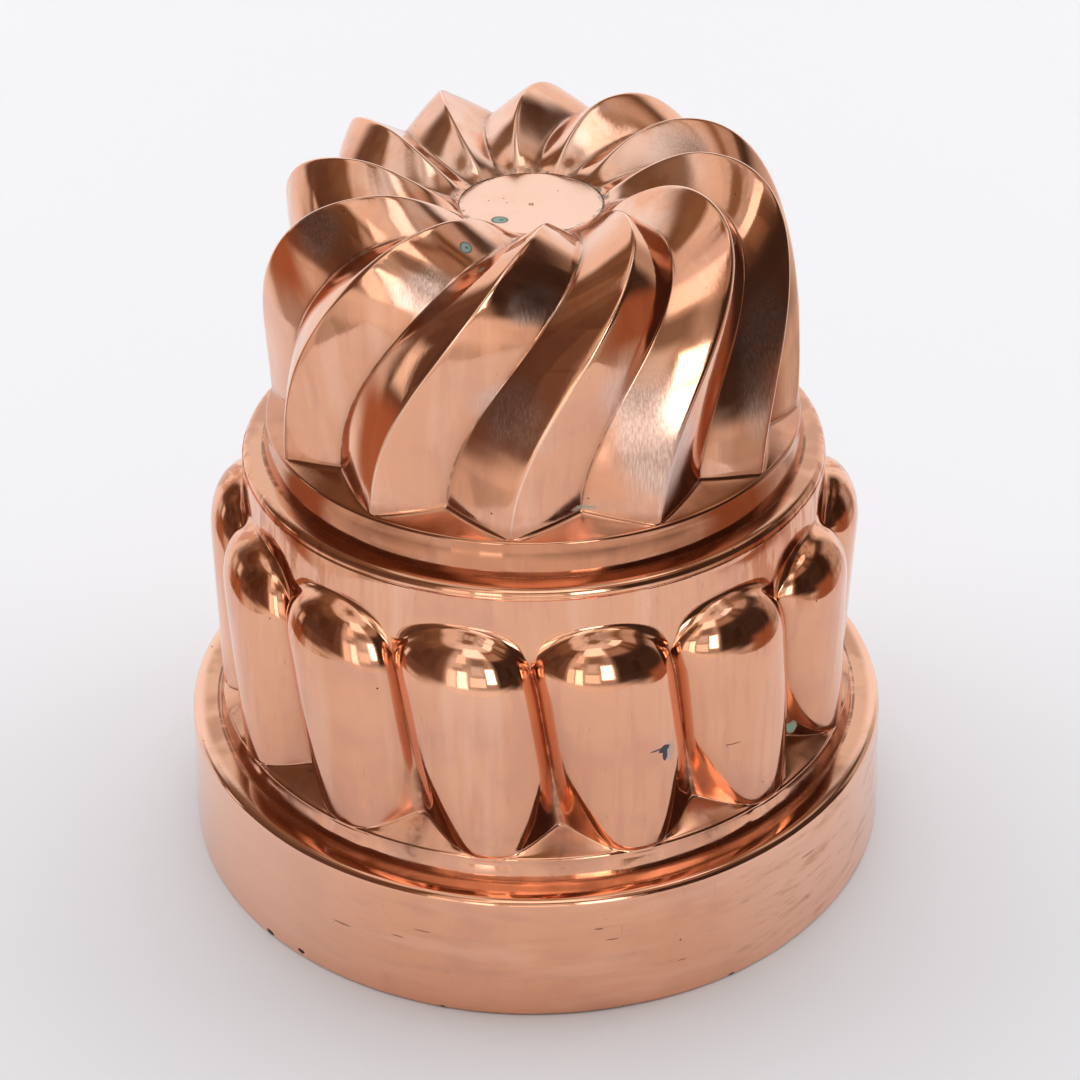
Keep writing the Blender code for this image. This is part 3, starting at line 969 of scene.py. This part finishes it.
def dome_copper():
    """The dome's copper: satin patches where the ridges were scoured, painted shade low in the
    pockets, a haze and tin-grey dirt round the crown, a green spot and a green foot."""
    finish = polished_copper("polished_copper_dome")
    # Streaks of the scouring, 0.33 mm wide and 9 mm long, drawn wider than real ones
    grain = finish.share([(finish.clouds(0.33, (1, 1, 0.035)), 0.1, 0.9)])
    satin = finish.add("Mix", {0: grain, 6: linear("#C29C90"), 7: linear("#FBE0D4")}, 2,
                       data_type="RGBA")
    rough = finish.add("MapRange", {"Value": grain, 3: 0.19, 4: 0.25})
    for middle, half in SATIN_PATCHES:
        finish.lay([(finish.away(middle, half, 0.8), 1.35, 0.55)], satin, rough, top=0.9)
    finish.lay([(finish.z, 112 * MM, 103 * MM), (finish.clouds(5, detail=6), 0.42, 0.65)],
               "#D9A28C", 0.2, top=0.6)
    # Painted shade: a brown tone low down, in the pockets between the ridges' toes
    finish.lay([(finish.z, 106 * MM, 103.5 * MM)], "#B06F50", top=0.5)
    # Tin-grey dirt in the valleys by the crown, a paler haze, and dirt along the crown's edge
    finish.lay([(finish.fold, 0.2, 1), (finish.z, 146 * MM, 149 * MM),
                (finish.clouds(2.2, detail=6), 0.48, 0.6)], "#98877B", 0.45, 0.8, 0.7)
    finish.lay(finish.circle(24, 15, 151, 10) + [(finish.clouds(9), 0.3, 0.6)], "#FFD8C6", 0.15,
               top=0.7)
    finish.lay(finish.circle(15.2, 1.2, 148, 3) + [(finish.clouds(1.6, detail=6), 0.52, 0.62)],
               "#8F8278", 0.45, 0.8, 0.7)
    finish.verdigris((-12.4, -33.6, 153.9), 1.3)
    finish.spot((9.6, -50.2, 106.2), (2.2, 1.4, 0.5), "#C9E6D6", 0.8, 0, 0.6, soft=0.5,
                ragged=0.8)
    finish.spots(DOME_CRACKS, "#5A3022", 0.4, top=0.8, ragged=0.2)
    return finish.close(finish.hairlines, 0.25)


def crown_copper():
    """The crown plate's copper: flat-buffed, with a painted highlight that makes it paler, a
    green spot and a smutty edge.
    """
    finish = polished_copper("polished_copper_crown")
    # Painted highlight: the plate paler nearly all over, for the bright reflection on its flat
    # top
    finish.lay([(finish.clouds(16), 0.1, 0.5)], "#FFD2BA", 0.16)
    finish.lay(finish.circle(14.4, 0.9, 148, 3) + [(finish.clouds(1.8, detail=6), 0.5, 0.6)],
               "#9A8A7F", 0.4, 0.8, 0.6)
    finish.verdigris((-6.3, -7.9, 147.7), 1.7)
    for x, y in CROWN_PITS:
        finish.spot((x, y, 147.7), (0.22, 0.22, 0.4), "#9A6A58", 0.4, top=0.7)
    return finish.close(finish.hairlines, 0.3)


def kept(name, make):
    """The material of this name, made once."""
    return bpy.data.materials.get(name) or make(name)


def wiped_tin(name):
    """Wiped tin: grey, soft, smeared by the rag while hot, rubbed through in places."""
    finish = Finish(name, "tin", 0.28)
    finish.lay([(finish.clouds(12, detail=6), 0.35, 0.7)], "#BAB6AF", 0.45)
    finish.lay([(finish.clouds(4, (1, 1, 0.3)), 0.5, 0.7)], "#C6C1B8", 0.36, top=0.6)
    finish.lay([(finish.clouds(20, detail=8), 0.6, 0.7)], finish.tones.deep_copper, 0.3,
               top=0.7)
    smears = finish.share([(finish.clouds(6, detail=5), 0.2, 0.8)])
    return finish.close(smears, 0.4, 0.3 * MM)


def soft_solder(name):
    """Tin-lead solder: dull grey, frosted where it froze slowly."""
    finish = Finish(name, "solder", 0.35)
    finish.lay([(finish.clouds(4, detail=5), 0.35, 0.65)], "#8B867E", 0.6)
    frost = finish.share([(finish.clouds(1.2), 0.2, 0.8)])
    return finish.close(frost, 0.4, 0.15 * MM)


def brazing_brass():
    """Brass spelter filed flush: yellow, with cross file marks."""
    finish = Finish("filed_brazing_brass", "brass", 0.22)
    finish.lay([(finish.clouds(3, detail=4), 0.4, 0.65)], "#9A6B3C", 0.42)
    file_marks = finish.share([(finish.clouds(0.6, (0.15, 1, 1)), 0.3, 0.7)])
    return finish.close(file_marks, 0.5, 0.06 * MM)


def studio_paper():
    """Matt seamless paper."""
    paper = Layers(bpy.data.materials.new("studio_paper"), sizes("stage")[0].floor)
    paper.fill(paper.tree.nodes["Principled BSDF"], {"Base Color": paper.tone, "Roughness": 0.8})
    return paper.owner


# Stage

PATCHES = (   # turn from the front and climb, half width and height, colour, brightness
    (-5, -20, 46, 8, "#F3ECE5", 1),
    (-108, 70, 42, 8, "#EFE9E3", 1),
    (112, 51, 17, 8, "#C9BBAF", 1),
    (120, 5, 13, 20, "#BDB3AB", 1),
    (-118, -4, 8, 10, "#E2DCD6", 1),
    (-101, 3, 4, 7, "#FFF8EE", 1),
    (45, 47, 17, 8, "#AF9786", 1),
    (0, 70, 64, 9, "#F6F1EC", 1),
    (80, 66.5, 22, 5.5, "#FFFCF8", 1.6),
    (3, 56, 21, 11, "#FFFCF8", 1.6),
    (-18, 38, 6.5, 10, "#FFF3E2", 1.15),
    (6, 34, 11, 8, "#8F7F72", 1),
    (2, 17, 7, 8, "#E6E6E4", 1),
    (-108, -20, 14, 11, "#A97355", 1),
    (92, -20, 18, 12, "#9C6B4F", 1),
    (1, -2, 9, 7, "#FFF8EE", 1.25),
    (-27.5, 0, 5, 13, "#FFF6E8", 1.3),
    (-16, 0, 5, 13, "#FFFCF6", 2.2),
    (19, 15, 6.5, 6, "#FFFCF6", 4.2),
    (19, 2.3, 6.5, 6, "#FFFCF6", 4.2),
)
CAMERA_PLACE = (0.0012, -0.42455, 0.34100)
CAMERA_TURN = (57.102, 0, -0.5)   # degrees
CAMERA_LENS = 75.94                 # millimetres, on a sensor 36 mm wide


def lit_patch(room, heading, middle, half, tone, soft):
    """Lays a lit patch with round corners over the room, in degrees of turn and climb."""
    off = room.measured(heading, (*middle, 0), (*half, 1))
    size = room.add("VectorMath", {0: off}, operation="ABSOLUTE")
    wide, tall, _ = room.add("SeparateXYZ", {0: size}).node.outputs
    far = room.add("Math", {0: wide, 1: tall, 2: 0.15}, operation="SMOOTH_MAX")
    room.lay([(far, 1 + soft, 1 - soft)], tone)


def room_light():
    """The room as polished metal mirrors it: dim brown walls, a grey ceiling, lit windows
    and a glow in front, and the pale paper sweep at the back."""
    stage, = sizes("stage")
    room = Layers(bpy.data.worlds.new("studio_room"), stage.left_wall)
    way = room.add("TexCoord", out="Generated")
    right, back, up = room.add("SeparateXYZ", {0: way}).node.outputs
    front = room.add("Math", {0: back, 1: -1}, operation="MULTIPLY")
    turned = room.add("Math", {0: right, 1: front}, operation="ARCTAN2")
    turn = room.add("Math", {0: turned}, operation="DEGREES")
    climbed_up = room.add("Math", {0: up}, operation="ARCSINE")
    climb = room.add("Math", {0: climbed_up}, operation="DEGREES")
    heading = room.add("CombineXYZ", {0: turn, 1: climb})
    for measure, start, end, tone in ((turn, -30, 20, stage.right_wall),
                                      (climb, 30, 56, stage.upper_wall),
                                      (climb, 62, 74, stage.ceiling),
                                      (climb, -12, -18, stage.table)):
        room.lay([(measure, start, end)], tone)
    lit_patch(room, heading, (-3, 22), (31, 34), stage.far_wall, 0.15)
    # Doors, shelves and pictures as plain panels on the walls, 15 degrees wide and 19 high
    panels = room.add("TexBrick", {
        "Vector": heading, "Color1": (0.62, 0.6, 0.58, 1), "Color2": (1.15, 1.15, 1.15, 1),
        "Mortar": (0.8, 0.77, 0.74, 1), "Scale": math.radians(1), "Mortar Size": 0.008,
        "Mortar Smooth": 0.5, "Brick Width": 0.27, "Row Height": 0.34}, offset=0.37, squash=0.7)
    room.tone = room.add("Mix", {0: 1, 6: room.tone, 7: panels}, 2, data_type="RGBA",
                         blend_type="MULTIPLY")
    for turn_there, climb_there, wide, tall, tone, bright in PATCHES:
        shown = tuple(bright * part for part in linear(tone)[:3]) + (1,)
        lit_patch(room, heading, (turn_there, climb_there), (wide, tall), shown,
                  0.15 if bright > 1 else 0.45)
    # The sweep hangs a little left of straight behind, below a brown beam
    behind = room.add("VectorMath", {0: way, 1: (-0.087, 0.996, 0)}, "Value",
                      operation="DOT_PRODUCT")
    room.lay([(behind, 0.48, 0.7), (up, 0.72, 0.6)], stage.sweep)
    room.lay([(up, 0.989, 0.997)], stage.upper_wall)
    mirrored = room.tone
    # The matt floor is lit more from behind than from the front
    room.tone = linear("#9A9897")
    room.lay([(back, -0.6, 0.6)], "#F2F2F5")
    path = room.add("LightPath").node.outputs
    room.lay([], "#F4F4F6", top=path["Is Camera Ray"])
    sharp = room.add("Math", {0: path["Is Glossy Ray"], 1: path["Is Transmission Ray"]},
                     operation="MAXIMUM")
    room.lay([], mirrored, top=sharp)
    room.fill(room.tree.nodes["Background"], {"Color": room.tone})
    bpy.context.scene.world = room.owner


def area_light(name, place, target, size, power):
    bpy.ops.object.light_add(type="AREA", location=place)
    lamp = bpy.context.object
    lamp.name = name
    lamp.data.shape = "RECTANGLE"
    lamp.data.size, lamp.data.size_y = size
    lamp.data.energy = power
    lamp.visible_glossy = False
    aim = [t - p for t, p in zip(target, place)]
    flat = math.hypot(aim[0], aim[1])
    lamp.rotation_euler = (math.atan2(flat, -aim[2]), 0, math.atan2(-aim[0], aim[1]))


class MOULD_OT_stage(bpy.types.Operator):
    """Sets the paper floor, the windows, the soft light above and the camera"""

    bl_idname = "mould.stage"
    bl_label = "Stage"

    def execute(self, context):
        stage, = sizes("stage")
        deselect()
        paper = studio_paper()
        for name, wide, front, back, height in (
                ("paper_sheet", 0.42, -stage.paper_front, 4, 0),
                ("paper_floor", 12, -6, 6, -0.2 * MM)):
            bpy.ops.mesh.primitive_plane_add(size=1)
            bpy.ops.transform.resize(value=(wide, back - front, 1))
            bpy.ops.transform.translate(value=(0, (front + back) / 2, height))
            floor = context.object
            floor.name = name
            floor.data.materials.append(paper)
        floor.visible_glossy = False
        room_light()
        area_light("soft_overhead", (0, 1, 2), (0, 0.1, 0), (3, 3), stage.overhead)
        for name, side in (("soft_left", -1), ("soft_right", 1)):
            area_light(name, (1.3 * side, 0.3, 0.6), (0, 0, 0), (1, 0.8), stage.sides)
        bpy.ops.object.camera_add(location=CAMERA_PLACE)
        camera = context.object
        camera.rotation_mode = "ZYX"
        camera.rotation_euler = [math.radians(turn) for turn in CAMERA_TURN]
        camera.name = "photo_camera"
        camera.data.sensor_width = 36
        camera.data.lens = CAMERA_LENS
        camera.data.clip_start = 0.01
        context.scene.camera = camera
        context.scene.view_settings.view_transform = "Standard"
        return {"FINISHED"}


class MOULD_PT_panel(bpy.types.Panel):
    """Sizes, finishes and the steps that make the mould"""

    bl_idname = "MOULD_PT_panel"
    bl_label = "Tiered copper mould"
    bl_space_type = "VIEW_3D"
    bl_region_type = "UI"
    bl_category = "Mould"

    def draw(self, context):
        for name in GROUPS:
            group = getattr(context.scene, name)
            box = self.layout.box()
            for key in group.__annotations__:
                box.prop(group, key)
        for step in STEPS:
            self.layout.operator(step.bl_idname)


GROUPS = {
    "mould_sheet": MouldSheet,
    "mould_skirt": MouldSkirt,
    "mould_flutes": MouldFlutes,
    "mould_swirl": MouldSwirl,
    "mould_crown": MouldCrown,
    "mould_finish": MouldFinish,
    "mould_stage": MouldStage,
}
STEPS = (MOULD_OT_skirt, MOULD_OT_seam, MOULD_OT_flutes, MOULD_OT_swirl, MOULD_OT_crown,
         MOULD_OT_solder, MOULD_OT_stage)
CLASSES = (*GROUPS.values(), *STEPS, MOULD_PT_panel)


def register():
    for made in CLASSES:
        bpy.utils.register_class(made)
    for name, group in GROUPS.items():
        setattr(bpy.types.Scene, name, PointerProperty(type=group))


def unregister():
    for name in GROUPS:
        delattr(bpy.types.Scene, name)
    for made in reversed(CLASSES):
        bpy.utils.unregister_class(made)


def main():
    register()
    bpy.ops.mould.skirt()
    bpy.ops.mould.seam()
    bpy.ops.mould.flutes()
    bpy.ops.mould.swirl()
    bpy.ops.mould.crown()
    bpy.ops.mould.solder()
    bpy.ops.mould.stage()


if __name__ == "__main__":
    main()
